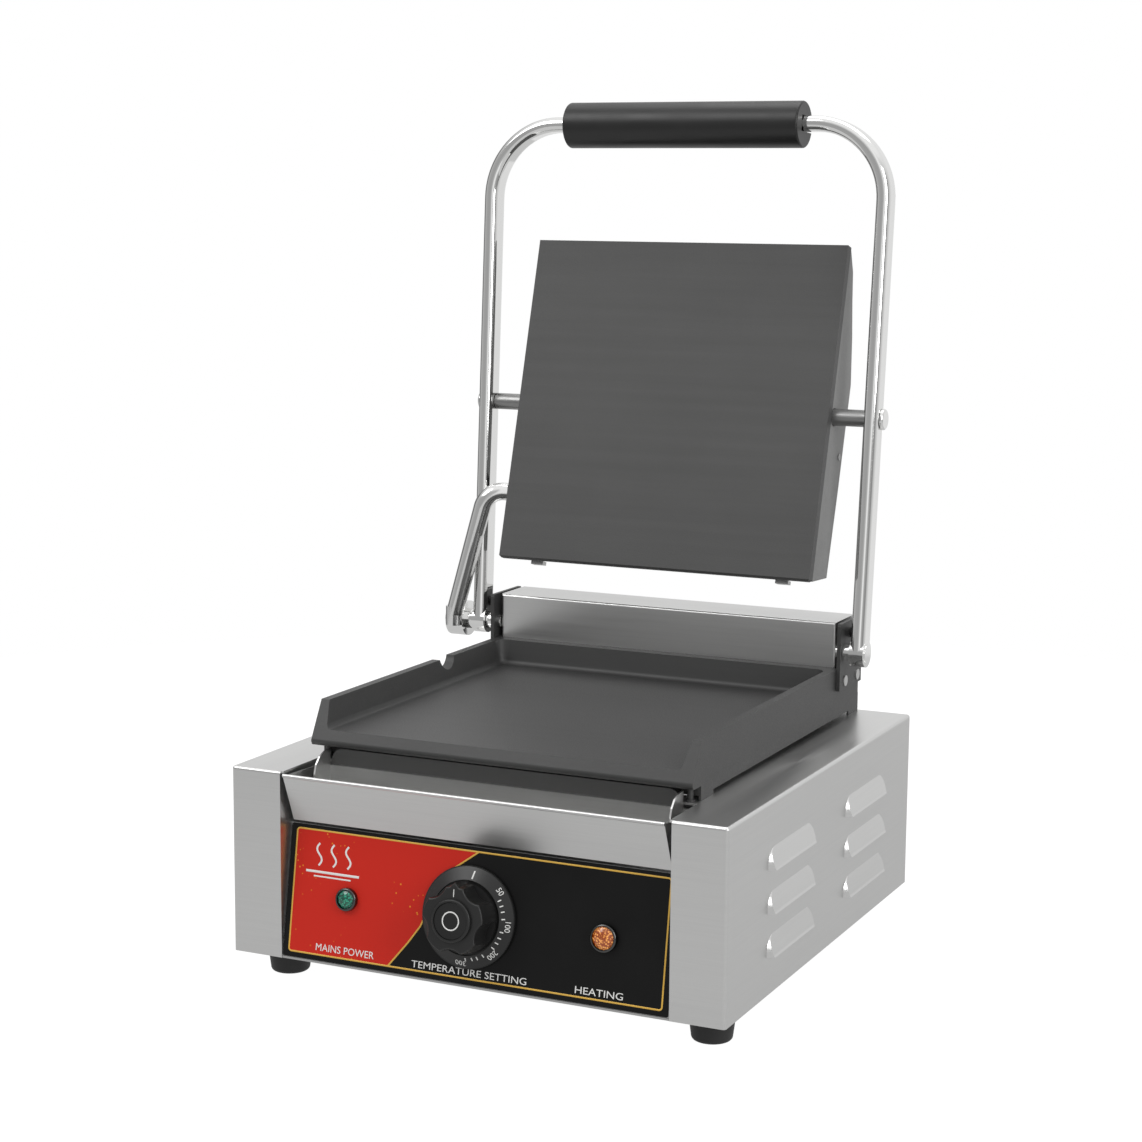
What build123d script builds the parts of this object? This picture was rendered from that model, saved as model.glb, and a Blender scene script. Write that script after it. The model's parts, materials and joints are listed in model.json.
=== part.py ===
"""Single contact grill (panini press), standing open.

Millimetres, +Z up, the front faces -Y.  The origin is at the middle of the
object's footprint box, on the surface that the feet stand on.
"""
from build123d import *
from math import atan2, cos, degrees, radians, sin, tan
import os

# ---------------------------------------------------------------- driving dimensions
BODY_W = 290.0            # body width
BODY_D = 296.0            # body depth
BODY_H = 104.0            # body height without the feet
FOOT_H = 16.4             # height of a rubber foot
FRONT = -145.0            # Y of the body's front face
SHEET = 1.2               # stainless sheet thickness
BEND = 1.8                # outer radius of a sheet bend
STRIP = 30.6              # width of a side cover's front strip
PANEL_LEAN = 9.2          # the control panel's top leans back, degrees

GRIDDLE_HALF = 113.0      # half width of the lower casting
GRIDDLE_TOP = 17.4        # cooking surface above the body top
GRIDDLE_WALL = 32.3       # side wall top above the body top
HINGE_BACK = 257.3        # hinge axis behind the body front
HINGE_UP = 42.0           # hinge axis above the body top
ARM_LEAN = 4.2            # the open handle frame leans back, degrees
ARM_HALF = 124.8          # half spacing of the arms at the hinge
ARM_SPLAY = 2.6           # each arm stands this much further out at the top
ARM_LONG = 308.3          # hinge axis to the middle of the top bar
BAR_THIN, BAR_DEEP = 8.8, 16.0   # flat-oval bar section
FRAME_BEND = 44.0         # centre-line radius of the frame's corners
PIN_ALONG = 137.8         # hinge axis to pivot pin, along the arm
PIN_OFF = 3.0             # pivot pin behind the arm's centre line
PLATE_W = 202.0           # upper plate, across
PLATE_L = 200.5           # upper plate, bottom to top
PLATE_TILT = 16.1         # the open plate's face leans back, degrees
PLATE_PIN = 10.7          # pivot pin behind the cooking face
RIM = 6.0                 # upper casting's rim thickness

# ---------------------------------------------------------------- places worked out
BASE = FOOT_H                       # Z of the body's lower edge
TOP = BASE + BODY_H                 # Z of the body's top
REAR = FRONT + BODY_D               # Y of the body's rear face
SIDE = BODY_W / 2
INNER = SIDE - STRIP                # inner edge of the front strips
SURFACE = TOP + GRIDDLE_TOP
WALL_TOP = TOP + GRIDDLE_WALL
HINGE_Y = FRONT + HINGE_BACK
HINGE_Z = TOP + HINGE_UP
PIN_Y = HINGE_Y + PIN_ALONG * sin(radians(ARM_LEAN)) + PIN_OFF * cos(radians(ARM_LEAN))
PIN_Z = HINGE_Z + PIN_ALONG * cos(radians(ARM_LEAN)) - PIN_OFF * sin(radians(ARM_LEAN))

# The control panel's own plane: X across, Y up the panel, Z out of it.
LEAN = radians(PANEL_LEAN)
PANEL = Plane(origin=(0, FRONT + 0.3, BASE + 1.4), x_dir=(1, 0, 0), z_dir=(0, -cos(LEAN), sin(LEAN)))
PANEL_UP = 73.0
KNOB_X, KNOB_UP = -2.0, 36.0
SKIRT_OUT, SKIRT_IN, SKIRT_RISE = 26.6, 20.0, 3.4     # the dial skirt's cone
LAMP_X, LAMP_UP = 76.0, 35.5

# The handle frame's plane: X across, Y along the arms from the hinge axis, Z to the front.
ARM = radians(ARM_LEAN)
FRAME = Plane(origin=(0, HINGE_Y, HINGE_Z), x_dir=(1, 0, 0), z_dir=(0, -cos(ARM), sin(ARM)))

# The upper plate's plane on the cooking face, from the pin's foot: X across, Y up the plate.
TILT = radians(PLATE_TILT)
FACE = Plane(
    origin=(0, PIN_Y - PLATE_PIN * cos(TILT), PIN_Z + PLATE_PIN * sin(TILT)),
    x_dir=(1, 0, 0),
    z_dir=(0, -cos(TILT), sin(TILT)),
)
PLATE_LOW = -99.4                   # the plate's lower edge in that plane

made = {}


# ---------------------------------------------------------------- helpers
def slab(x0, x1, y0, y1, z0, z1):
    """Box between two corners."""
    size = (x1 - x0, y1 - y0, z1 - z0)
    centre = ((x0 + x1) / 2, (y0 + y1) / 2, (z0 + z1) / 2)
    return Pos(*centre) * Box(*size)


def rod(x0, x1, y, z, radius):
    """Cylinder along X."""
    return Pos((x0 + x1) / 2, y, z) * Rot(0, 90, 0) * Cylinder(radius, abs(x1 - x0))


def along_x(points, x0, x1):
    """Outline of (y, z) points extruded from x0 to x1."""
    outline = Plane.YZ.offset(x0) * Polygon(*points, align=None)
    return extrude(outline, amount=x1 - x0, dir=(1, 0, 0))


def on_plane(plane, x, y, z, shape):
    """A shape made about the origin, set on a plane at (x, y, z), its +Z out of the plane."""
    return plane * Pos(x, y, z) * shape


def stud(plane, x, y, z0, z1, radius):
    """Cylinder along a plane's normal, from z0 to z1."""
    return on_plane(plane, x, y, (z0 + z1) / 2, Cylinder(radius, abs(z1 - z0)))


def mirror_x(shape):
    return mirror(shape, about=Plane.YZ)


def tube(points, radius, bends):
    """Round rod along straight runs joined by arcs."""
    path = FilletPolyline(*points, radius=bends)
    return sweep(Plane(path @ 0, z_dir=path % 0) * Circle(radius), path)


def keep(name, *shapes):
    """Keep one node: one shape or a group of separate ones."""
    solids = [solid for shape in shapes for solid in shape.solids()]
    node = solids[0] if len(solids) == 1 else Compound(children=solids)
    node.label = name
    made[name] = node
    return node


# ---------------------------------------------------------------- body of the base
LOUVRE_W, LOUVRE_H, LOUVRE_OUT = 66.8, 11.5, 3.6
LOUVRE_SLOPE = 38.0       # slope of a louvre's ends and top, degrees
LOUVRE_Y = (FRONT + 90.3, FRONT + 211.8)
LOUVRE_Z = (BASE + 67.6, BASE + 44.2, BASE + 20.8)
NOTCH_BACK = 37.6         # the covers' tops are cut back this far for the drip tray
SCREW_Z = (BASE + 16, TOP - 18)
FEET = {                  # the rear feet stand further in than the front ones
    "front_left_foot": (-126.6, FRONT + 28.5),
    "front_right_foot": (126.6, FRONT + 28.5),
    "rear_left_foot": (-78.0, REAR - 28.5),
    "rear_right_foot": (78.0, REAR - 28.5),
}
GLAND_X, GLAND_Z = -70.0, BASE + 30


def hood(inset, out):
    """Pressed louvre hood, standing out of a wall at X = 0, its open lip at Z = 0."""
    width = LOUVRE_W - 2 * inset
    height = 2 * (LOUVRE_H - inset)
    outline = Plane.YZ * RectangleRounded(width, height, 8.4 - inset)
    block = extrude(outline, amount=out + 1, taper=LOUVRE_SLOPE)
    ramp = Plane.XZ * Polygon((0, 0), (out, 0), (out * 0.86, 1.2), (0, LOUVRE_H - inset), align=None)
    return block & extrude(ramp, amount=LOUVRE_W, both=True)


def louvres():
    """Raised hoods and the openings cut behind them, for the right side wall."""
    skin, holes = [], []
    for y in LOUVRE_Y:
        for z in LOUVRE_Z:
            place = Pos(SIDE, y, z)
            skin.append(place * hood(0, LOUVRE_OUT))
            holes.append(place * hood(1.0, LOUVRE_OUT - 1.0))
            holes.append(slab(SIDE - 2 * SHEET, SIDE, y - LOUVRE_W / 2 + 6, y + LOUVRE_W / 2 - 6, z, z + 4))
    return skin, holes


def right_cover():
    """Folded side cover: front strip, side wall, top strip, rear strip and inner return."""
    block = slab(INNER - 10, SIDE, FRONT, REAR, BASE, TOP)
    corner = block.edges().filter_by(Axis.Z).sort_by(Axis.X)[-2:]
    edge = block.edges().filter_by(Axis.Y).group_by(Axis.X)[-1].sort_by(Axis.Z)[-1:]
    front = block.edges().filter_by(Axis.X).group_by(Axis.Z)[-1]
    block = fillet(corner + edge + front, BEND)
    shell = block - slab(0, SIDE - SHEET, FRONT + SHEET, REAR - SHEET, BASE - 1, TOP - SHEET)
    shell -= slab(0, INNER, FRONT - 1, FRONT + SHEET, BASE - 1, TOP + 1)
    shell -= slab(0, INNER - 1.6, FRONT - 1, FRONT + NOTCH_BACK, TOP - 5, TOP + 1)
    shell -= slab(0, SIDE - 24, REAR - SHEET, REAR + 1, BASE - 1, TOP - SHEET)
    shell += slab(INNER, INNER + SHEET, FRONT + SHEET, FRONT + 16, BASE + 1.6, TOP - SHEET)
    skin, holes = louvres()
    for piece in skin:
        shell += piece
    for piece in holes:
        shell -= piece
    for z in SCREW_Z:
        shell -= Pos(SIDE - 12, REAR, z) * Rot(90, 0, 0) * Cylinder(1.7, 8)
    return shell


def make_body():
    right = right_cover()
    keep("right_side_cover", right)
    keep("left_side_cover", mirror_x(right))

    pan = slab(-SIDE + 1.5, SIDE - 1.5, FRONT + 2.2, REAR - 2.7, BASE, BASE + SHEET)
    pan += slab(-INNER + 0.2, INNER - 0.2, FRONT + 0.3, FRONT + 2.2, BASE, BASE + SHEET)
    for side in (-1, 1):
        edge = side * (SIDE - 1.5)
        low, high = sorted((edge, edge - side * SHEET))
        pan += slab(low, high, FRONT + 20, REAR - 20, BASE, BASE + 11)
    for x, y in FEET.values():
        pan -= Pos(x, y, BASE) * Cylinder(2.1, 6)
    for row in range(6):
        y = FRONT + 90 + 24 * row
        for x in (-48, 48):
            pan -= Pos(x, y, BASE) * extrude(SlotOverall(56, 5), amount=3, both=True)
    keep("base_pan", pan)

    rear = slab(-SIDE + 1.6, SIDE - 1.6, REAR - 2.5, REAR - 1.3, BASE + 1.3, TOP - 1.3)
    rear += slab(-SIDE + 1.6, SIDE - 1.6, REAR - 28, REAR - 2.4, TOP - 2.5, TOP - 1.3)
    for side in (-1, 1):
        for z in SCREW_Z:
            rear -= Pos(side * (SIDE - 12), REAR, z) * Rot(90, 0, 0) * Cylinder(1.3, 9)
    rear -= Pos(GLAND_X, REAR, GLAND_Z) * Rot(90, 0, 0) * Cylinder(8.1, 9)
    for row in range(4):
        for x in (-12, 42, 96):
            slot = extrude(SlotOverall(40, 4), amount=6, both=True)
            rear -= Pos(x, REAR, BASE + 40 + 12 * row) * Rot(90, 0, 0) * slot
    keep("rear_panel", rear)

    screws = []
    for side in (-1, 1):
        for z in SCREW_Z:
            screw = Pos(0, 0, -4) * Cylinder(1.2, 8) + Pos(0, 0, 0.9) * Cylinder(3.2, 1.8)
            screw = fillet(screw.edges().group_by(Axis.Z)[-1], 1.0)
            screw -= Pos(0, 0, 1.6) * Box(4.2, 0.8, 1.2)
            screws.append(Pos(side * (SIDE - 12), REAR, z) * Rot(-90, 0, 0) * screw)
    keep("cover_screws", *screws)

    foot_screws = []
    for name, (x, y) in FEET.items():
        foot = Pos(x, y, FOOT_H / 2) * Cone(10.6, 12.7, FOOT_H)
        foot = fillet(foot.edges().group_by(Axis.Z)[0], 2.4)
        foot -= Pos(x, y, 4.7) * Cylinder(4.6, 9.4)
        foot -= Pos(x, y, FOOT_H / 2) * Cylinder(2.1, FOOT_H + 1)
        keep(name, foot)
        screw = Pos(x, y, 8.1) * Cylinder(4.2, 2.4) + Pos(x, y, FOOT_H - 1) * Cylinder(1.95, 11)
        nut = Pos(x, y, BASE + SHEET + 1.6) * extrude(RegularPolygon(3.6, 6), amount=1.6, both=True)
        foot_screws.append(screw + nut)
    keep("foot_screws", *foot_screws)

    gland = Pos(0, 0, 3) * extrude(RegularPolygon(12, 6), amount=3, both=True)
    gland += Pos(0, 0, 10) * Cone(9.5, 6.8, 8) + Pos(0, 0, -5) * Cylinder(8, 10)
    gland -= Cylinder(3.8, 60)
    lock = Pos(0, 0, -6.5) * extrude(RegularPolygon(12, 6), amount=2, both=True) - Cylinder(8.02, 40)
    keep("cable_gland", Pos(GLAND_X, REAR - 1.2, GLAND_Z) * Rot(-90, 0, 0) * gland)
    keep("gland_locknut", Pos(GLAND_X, REAR - 1.2, GLAND_Z) * Rot(-90, 0, 0) * lock)


# ---------------------------------------------------------------- control panel
def make_controls():
    outline = ((0, 0), (0, PANEL_UP), (-12, PANEL_UP), (-12, PANEL_UP - SHEET), (-SHEET, PANEL_UP - SHEET))
    outline = outline + ((-SHEET, 0),)
    section = Plane(origin=PANEL.origin - Vector(INNER - 0.2, 0, 0), x_dir=PANEL.z_dir, z_dir=(-1, 0, 0))
    panel = extrude(section * Polygon(*outline, align=None), amount=2 * INNER - 0.4, dir=(1, 0, 0))
    overlay = on_plane(PANEL, 0, PANEL_UP / 2, 0, extrude(RectangleRounded(227.8, 72.6, 1.0), amount=0.4))
    for x, radius in ((-LAMP_X, 4.6), (LAMP_X, 4.6), (KNOB_X, 4.4)):
        up = KNOB_UP if x == KNOB_X else LAMP_UP
        cutter = stud(PANEL, x, up, -6, 6, radius)
        panel -= cutter
        overlay -= cutter
    keep("front_panel", panel)
    keep("panel_overlay", overlay)

    for x, name, lens_r in ((-LAMP_X, "power_lamp", 5.0), (LAMP_X, "heat_lamp", 6.1)):
        ring = Pos(0, 0, 1.9) * Cylinder(lens_r + 1.3, 3.0)
        ring = fillet(ring.edges().group_by(Axis.Z)[-1], 1.0)
        ring += Pos(0, 0, -9) * Cylinder(4.5, 18.8)
        ring -= Pos(0, 0, -2) * Cylinder(3.9, 40)
        ring -= Pos(0, 0, 3.0) * Cylinder(lens_r + 0.06, 2.4)
        lens = Pos(0, 0, 0.0) * Cylinder(3.85, 4.0) + Pos(0, 0, 2.6) * Cylinder(lens_r, 1.5)
        lens = fillet(lens.edges().group_by(Axis.Z)[-1], 0.6)
        nut = Pos(0, 0, -3.0) * (Cylinder(6.8, 3) - Cylinder(4.55, 4))
        keep(name + "_bezel", on_plane(PANEL, x, LAMP_UP, 0, ring))
        keep(name + "_lens", on_plane(PANEL, x, LAMP_UP, 0, lens))
        keep(name + "_nut", on_plane(PANEL, x, LAMP_UP, 0, nut))

    # Thermostat behind the panel, its shaft through the panel into the knob.
    body = Pos(0, 0, -17) * Box(42, 34, 22) + Pos(0, 0, -3.6) * Cylinder(4.2, 4.8)
    body -= Pos(0, 0, -6) * Cylinder(3.1, 12)
    keep("thermostat", on_plane(PANEL, KNOB_X, KNOB_UP, 0, body))
    shaft = Pos(0, 0, 2.0) * Cylinder(3.0, 24)
    shaft -= Pos(0, 3.2, 8) * Box(8, 3, 12.1)
    keep("thermostat_shaft", on_plane(PANEL, KNOB_X, KNOB_UP, 0, shaft))

    # Knob: shallow dial skirt, a groove, the five-lobed grip and a cap let into its front.
    skirt = Pos(0, 0, 1.6) * Cylinder(27.2, 1.6)
    skirt += Pos(0, 0, 2.4 + SKIRT_RISE / 2) * Cone(SKIRT_OUT, SKIRT_IN, SKIRT_RISE)
    skirt -= Pos(0, 0, 6.0) * (Cylinder(SKIRT_IN - 0.2, 3.2) - Cylinder(18.9, 4))
    grip = Pos(0, 0, 13.3) * Cone(18.9, 17.6, 15.0)
    nose = Pos(0, 15.6, 13.6) * Rot(0, 0, 45) * Box(6.2, 6.2, 14.4)
    for lobe in range(5):
        angle = radians(90 + 36 + 72 * lobe)
        grip -= Pos(24.6 * cos(angle), 24.6 * sin(angle), 14.6) * Cylinder(9.8, 14.0)
    grip = fillet((grip + nose).edges().group_by(Axis.Z)[-1], 0.9)
    boss = Pos(0, 0, 21.3) * Cylinder(11.3, 2.6)
    boss = fillet(boss.edges().group_by(Axis.Z)[-1], 0.8)
    knob = skirt + grip + boss - Pos(0, 0, 22.3) * Cylinder(9.8, 2.0)
    knob -= Pos(0, 0, 7.4) * Cylinder(3.05, 13.4)
    knob += Pos(0, 3.0, 9.0) * Box(5.2, 2.5, 8)
    keep("knob", on_plane(PANEL, KNOB_X, KNOB_UP, 0, knob))
    cap = Pos(0, 0, 21.75) * Cylinder(9.7, 0.9)
    cap = fillet(cap.edges().group_by(Axis.Z)[-1], 0.3)
    keep("knob_cap", on_plane(PANEL, KNOB_X, KNOB_UP, 0, cap))

    # Capillary from the thermostat to its bulb under the griddle.
    start = PANEL.from_local_coords((KNOB_X, KNOB_UP, -28.5))
    bulb_y, bulb_z = FRONT + 96, TOP - 6.5
    points = ((start.X, start.Y, start.Z), (KNOB_X, FRONT + 62, BASE + 32), (KNOB_X, FRONT + 74, TOP - 30),
              (KNOB_X, bulb_y, bulb_z), (KNOB_X, bulb_y + 20, bulb_z))
    line = tube(points, 1.0, (8, 14, 9))
    bulb = Pos(KNOB_X, bulb_y + 55, bulb_z) * Rot(90, 0, 0) * Cylinder(3.0, 70)
    keep("thermostat_bulb", line + bulb)

    block = slab(-104, -68, REAR - 62, REAR - 44, BASE + 1.3, BASE + 17)
    for index in range(3):
        block -= Pos(-98 + 12 * index, REAR - 53, BASE + 17) * Cylinder(3.2, 12)
    keep("terminal_block", block)


# ---------------------------------------------------------------- drip tray
TRAY_HALF = 111.4
TRAY_FLOOR = BASE + 75.8


def make_tray():
    front = ((-2.0, 102.4), (-0.9, 102.4), (10.0, 76.8), (36.0, 76.8), (36.0, 101), (37.0, 101),
             (37.0, 75.8), (9.0, 75.8))
    trough = along_x([(FRONT + y, BASE + z) for y, z in front], -TRAY_HALF, TRAY_HALF)
    side = [(FRONT + y, BASE + z) for y, z in ((-0.9, 102.0), (10.0, 76.0), (36.5, 76.0), (36.5, 101))]
    for x in (-TRAY_HALF, TRAY_HALF - 1.0):
        trough += along_x(side, x, x + 1.0)
    apron = Plane.XZ.offset(-(FRONT + 37.05)) * Pos(0, BASE + 98) * RectangleRounded(208, 25, 7)
    keep("tray_apron", extrude(apron, amount=-1.0))
    ear = ((20, 76.4), (20, 99), (21.6, 104), (25.5, 108), (31, 110), (36.4, 110.4), (36.4, 76.4))
    for x in (-105.5, 104.5):
        trough += along_x([(FRONT + y, BASE + z) for y, z in ear], x, x + 1.0)
    hem = Pos(0, FRONT - 1.5, BASE + 102.3) * Rot(0, 90, 0) * Cylinder(1.0, 2 * TRAY_HALF)
    keep("drip_tray", trough + hem)

    rails = []
    for side in (-1, 1):
        low, high = sorted((side * (INNER - 0.2), side * 104.5))
        rail = slab(low, high, FRONT + 22.5, FRONT + 80, BASE + 74.0, BASE + 75.2)
        low, high = sorted((side * (INNER - 0.2), side * (INNER - 1.4)))
        rails.append(rail + slab(low, high, FRONT + 38, FRONT + 80, BASE + 74.0, BASE + 84))
    keep("tray_rails", *rails)


# ---------------------------------------------------------------- lower griddle
LIP_Y, LIP_Z = FRONT + 28.4, TOP + 8.4
WALL_FRONT = FRONT + 41.5
REAR_WALL = FRONT + 248.5
CAST_REAR = FRONT + 294.0
BOX_FRONT, BOX_REAR = FRONT + 255.4, FRONT + 289.0
BOX_HALF = 110.7
BOX_TOP = TOP + 59.6
RELIEF_Y = FRONT + 177.8      # where the conduit crosses the left wall with the lid shut
RELIEF_R = 9.0


def make_griddle():
    profile = [(LIP_Y, LIP_Z), (WALL_FRONT, WALL_TOP), (CAST_REAR, WALL_TOP), (CAST_REAR, LIP_Z + 2.6),
               (FRONT + 42.6, LIP_Z + 2.6), (FRONT + 42.6, LIP_Z)]
    cast = along_x(profile, -GRIDDLE_HALF, GRIDDLE_HALF)
    cast = fillet(cast.edges().filter_by(Axis.Z).group_by(Axis.Y)[-1], 3.5)
    cast = fillet(cast.edges().filter_by(Axis.X).group_by(Axis.Y)[0], 2.6)
    mouth = Plane.XY.offset(SURFACE) * Pos(0, REAR_WALL - 150) * RectangleRounded(2 * 105.0, 292, 4)
    basin = extrude(mouth, amount=GRIDDLE_WALL, taper=-11)
    basin = fillet(basin.edges().group_by(Axis.Z)[0], 3.5)
    cast -= basin
    tunnel = slab(-104, 104, REAR_WALL + 14, CAST_REAR - 5, LIP_Z, WALL_TOP - 6)
    cast -= tunnel
    wires = slab(-90, -60, BOX_FRONT + 8, BOX_REAR - 8, WALL_TOP - 7, WALL_TOP + 1)
    cast -= wires
    cast -= rod(-GRIDDLE_HALF - 1, -GRIDDLE_HALF + 16, RELIEF_Y, WALL_TOP + 2, RELIEF_R)
    for side in (-1, 1):
        for y in EAR_SCREW_Y:
            cast -= rod(side * 100, side * 114, y, EAR_SCREW_Z, 2.05)
    keep("lower_griddle", cast)

    # Sheet pan under the casting: it carries the element and stands on the covers by four feet.
    wide, front, back = 112.5, FRONT + 43, CAST_REAR - 1
    low, high = TOP + 2.7, LIP_Z + 2.5
    pan = slab(-wide, wide, front, back, low, high)
    pan -= slab(-wide + SHEET, wide - SHEET, front + SHEET, back - SHEET, low + SHEET, high + 1)
    for x in (-wide, wide - SHEET):
        pan += slab(x, x + SHEET, front, front + 17, TOP + 0.05, low + 1)
        pan += slab(x, x + SHEET, back - 17, back, TOP + 0.05, low + 1)
    pan -= slab(-92, -56, back - 40, back - 12, low - 1, low + 3)
    keep("element_pan", pan)

    # Posts with bright washers hold the casting's front corners up off the covers.
    posts = []
    for x in (-107.6, 107.6):
        post = Pos(x, FRONT + 40.5, TOP + 0.6) * Cylinder(2.5, 1.1)
        posts.append(post + Pos(x, FRONT + 40.5, TOP + 4.3) * Cylinder(1.7, 8.1))
    keep("griddle_posts", *posts)

    # Tubular element pressed up against the casting by two clamp bars.
    z = LIP_Z + 2.55 - 3.0
    near, far = FRONT + 62, FRONT + 236
    points = [(-86.0, far + 14, z), (-86.0, near, z)]
    for index, x in enumerate((-52.0, -18.0, 18.0, 52.0)):
        ends = (far, near) if index % 2 else (near, far)
        points.append((x, ends[0], z))
        points.append((x, ends[1], z))
    points += [(86.0, near, z), (86.0, far + 14, z)]
    keep("lower_element", tube(points, 3.0, 15.0))
    clamps = []
    for y in (FRONT + 110, FRONT + 190):
        clamps.append(slab(-96, 96, y - 8, y + 8, TOP + 3.95, z - 3.05))
    keep("element_clamps", *clamps)


# ---------------------------------------------------------------- hinge
EAR_IN, EAR_OUT = 113.2, 115.4
EAR_SCREW_Y = (HINGE_Y + 2, HINGE_Y + 24)
EAR_SCREW_Z = TOP + 24.5
BOLT_R = 4.0
STOP_Y, STOP_Z = HINGE_Y + 11.85, HINGE_Z + 10.0
ARM_FACE = ARM_HALF + BAR_THIN / 2          # an arm's outer face at the hinge
SWIVEL_IN, SWIVEL_OUT = 134.2, 145.8        # the conduit's swivel on the left bolt


def low_head(side, face, radius, thick):
    """Low rounded bolt head on an arm's outer face."""
    head = rod(side * face, side * (face + thick), HINGE_Y, HINGE_Z, radius)
    outer = head.edges().filter_by(GeomType.CIRCLE).sort_by(Axis.X)[-1 if side > 0 else 0]
    return fillet(outer, thick * 0.6)


def make_hinge():
    box = slab(-BOX_HALF, BOX_HALF, BOX_FRONT, BOX_REAR, WALL_TOP + 0.05, BOX_TOP)
    box = fillet(box.edges().filter_by(Axis.X).group_by(Axis.Z)[-1] + box.edges().filter_by(Axis.Z), 1.6)
    wide = BOX_HALF - SHEET
    box -= slab(-wide, wide, BOX_FRONT + SHEET, BOX_REAR - SHEET, WALL_TOP - 1, BOX_TOP - SHEET)
    keep("hinge_box", box)

    # Ear plates flat against the casting's sides, as high as the box.
    front = HINGE_Y - 7.5
    outline = [(front, TOP + 19.5), (front, BOX_TOP - 1.5), (front + 1.5, BOX_TOP), (BOX_REAR - 1.5, BOX_TOP),
               (BOX_REAR, BOX_TOP - 1.5), (BOX_REAR, TOP + 19.5)]
    for side, name in ((-1, "left"), (1, "right")):
        low, high = sorted((side * EAR_IN, side * EAR_OUT))
        ear = along_x(outline, low, high)
        ear -= rod(low - 1, high + 1, HINGE_Y, HINGE_Z, BOLT_R + 0.05)
        for y in EAR_SCREW_Y:
            ear -= rod(low - 1, high + 1, y, EAR_SCREW_Z, 2.1)
        ear -= rod(low - 1, high + 1, STOP_Y, STOP_Z, 2.0)
        keep(name + "_hinge_ear", ear)

    # Shoulder bolts through the arms' eyes and the ears; the left one also holds the conduit's swivel.
    right = rod(EAR_IN - 2.2, ARM_FACE + 0.1, HINGE_Y, HINGE_Z, BOLT_R) + low_head(1, ARM_FACE, 5.6, 0.6)
    left = rod(-SWIVEL_OUT - 0.1, -EAR_IN + 2.2, HINGE_Y, HINGE_Z, BOLT_R) + low_head(-1, SWIVEL_OUT, 6.6, 1.8)
    keep("hinge_bolts", left, right)

    fixings, collars, stops = [], [], []
    for side in (-1, 1):
        for y in EAR_SCREW_Y:
            pin = rod(side * 108, side * (EAR_OUT + 0.05), y, EAR_SCREW_Z, 2.0)
            fixings.append(pin + rod(side * EAR_OUT, side * (EAR_OUT + 0.7), y, EAR_SCREW_Z, 3.2))
        ring = rod(side * (EAR_OUT + 0.25), side * (ARM_HALF - BAR_THIN / 2 - 0.3), HINGE_Y, HINGE_Z, 5.2)
        collars.append(ring - rod(side * 110, side * 130, HINGE_Y, HINGE_Z, BOLT_R))
        stop = rod(side * EAR_IN, side * EAR_OUT, STOP_Y, STOP_Z, 2.0)
        stops.append(stop + rod(side * EAR_OUT, side * (ARM_HALF - 1), STOP_Y, STOP_Z, 3.0))
    keep("ear_screws", *fixings)
    keep("hinge_collars", *collars)
    keep("arm_stops", *stops)


# ---------------------------------------------------------------- handle frame
STUD_R = 3.0
GRIP_R, GRIP_AHEAD = 13.7, 3.2
GRIP_FROM, GRIP_TO = -74.6, 76.3
GRIP_ALONG = ARM_LONG - 0.6


def make_handle():
    high = ARM_HALF + ARM_SPLAY
    corners = [(-ARM_HALF, 0, 0), (-high, ARM_LONG, 0), (high, ARM_LONG, 0), (ARM_HALF, 0, 0)]
    line = FilletPolyline(*corners, radius=FRAME_BEND)
    section = Plane(line @ 0, x_dir=(0, 0, 1), z_dir=line % 0) * SlotOverall(BAR_DEEP, BAR_THIN)
    frame = FRAME * sweep(section, line)
    for side in (-1, 1):
        x = side * ARM_HALF
        frame += rod(x - BAR_THIN / 2, x + BAR_THIN / 2, HINGE_Y, HINGE_Z, BAR_DEEP / 2)
        frame -= rod(x - 8, x + 8, HINGE_Y, HINGE_Z, BOLT_R)
        frame -= rod(side * 110, side * 140, PIN_Y, PIN_Z, STUD_R + 0.06)

    grip = Pos((GRIP_FROM + GRIP_TO) / 2, 0, 0) * Rot(0, 90, 0) * Cylinder(GRIP_R, GRIP_TO - GRIP_FROM)
    grip = fillet(grip.edges().filter_by(GeomType.CIRCLE), 1.2)
    grip = on_plane(FRAME, 0, GRIP_ALONG, GRIP_AHEAD, grip)
    grip -= FRAME * slab(-100, 100, ARM_LONG - 4.7, ARM_LONG + 4.7, -30, BAR_DEEP / 2 + 0.05)

    screws = []
    for x in (-45, 45):
        screw = Cylinder(1.7, 24) + Pos(0, 0, -12.8) * Cylinder(3.2, 1.8)
        screw = on_plane(FRAME, x, ARM_LONG, 3.6, screw)
        frame -= screw
        grip -= screw
        screws.append(screw)
    keep("handle_frame", frame)
    keep("handle_grip", grip)
    keep("grip_screws", *screws)


# ---------------------------------------------------------------- upper plate
COVER_SKIN = 1.4
COVER_PROFILE = (         # the cover's back: distance from the plate's lower edge, depth behind the face
    (0.6, RIM), (6.2, 30.3), (61.7, 32.6), (123.7, 33.6), (150.7, 26.2), (171.7, 18.8), (187.7, 14.0), (199.3, RIM),
)
COVER_INSIDE = (
    (1.8, RIM - 1), (7.6, 28.9), (61.7, 31.2), (123.3, 32.2), (150.1, 24.8), (171.2, 17.4), (186.7, 12.6),
    (198.1, RIM - 1),
)
CLAMP_X = (-52.5, 52.5)
CLAMP_UP = (-62.0, 18.0)
CAP_THICK = 2.0
ENTRY_ALONG, ENTRY_DEEP = 42.0, 15.6        # where the conduit enters, from the lower edge and the face


def cover_block(outline, half):
    """The cover's side outline, pulled across the plate."""
    section = Plane(origin=FACE.origin - Vector(half, 0, 0), x_dir=-FACE.z_dir, z_dir=(1, 0, 0))
    up = 1 if section.y_dir.Z > 0 else -1
    points = [(depth, up * (PLATE_LOW + along)) for along, depth in outline]
    return extrude(section * Polygon(*points, align=None), amount=2 * half, dir=(1, 0, 0))


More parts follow.
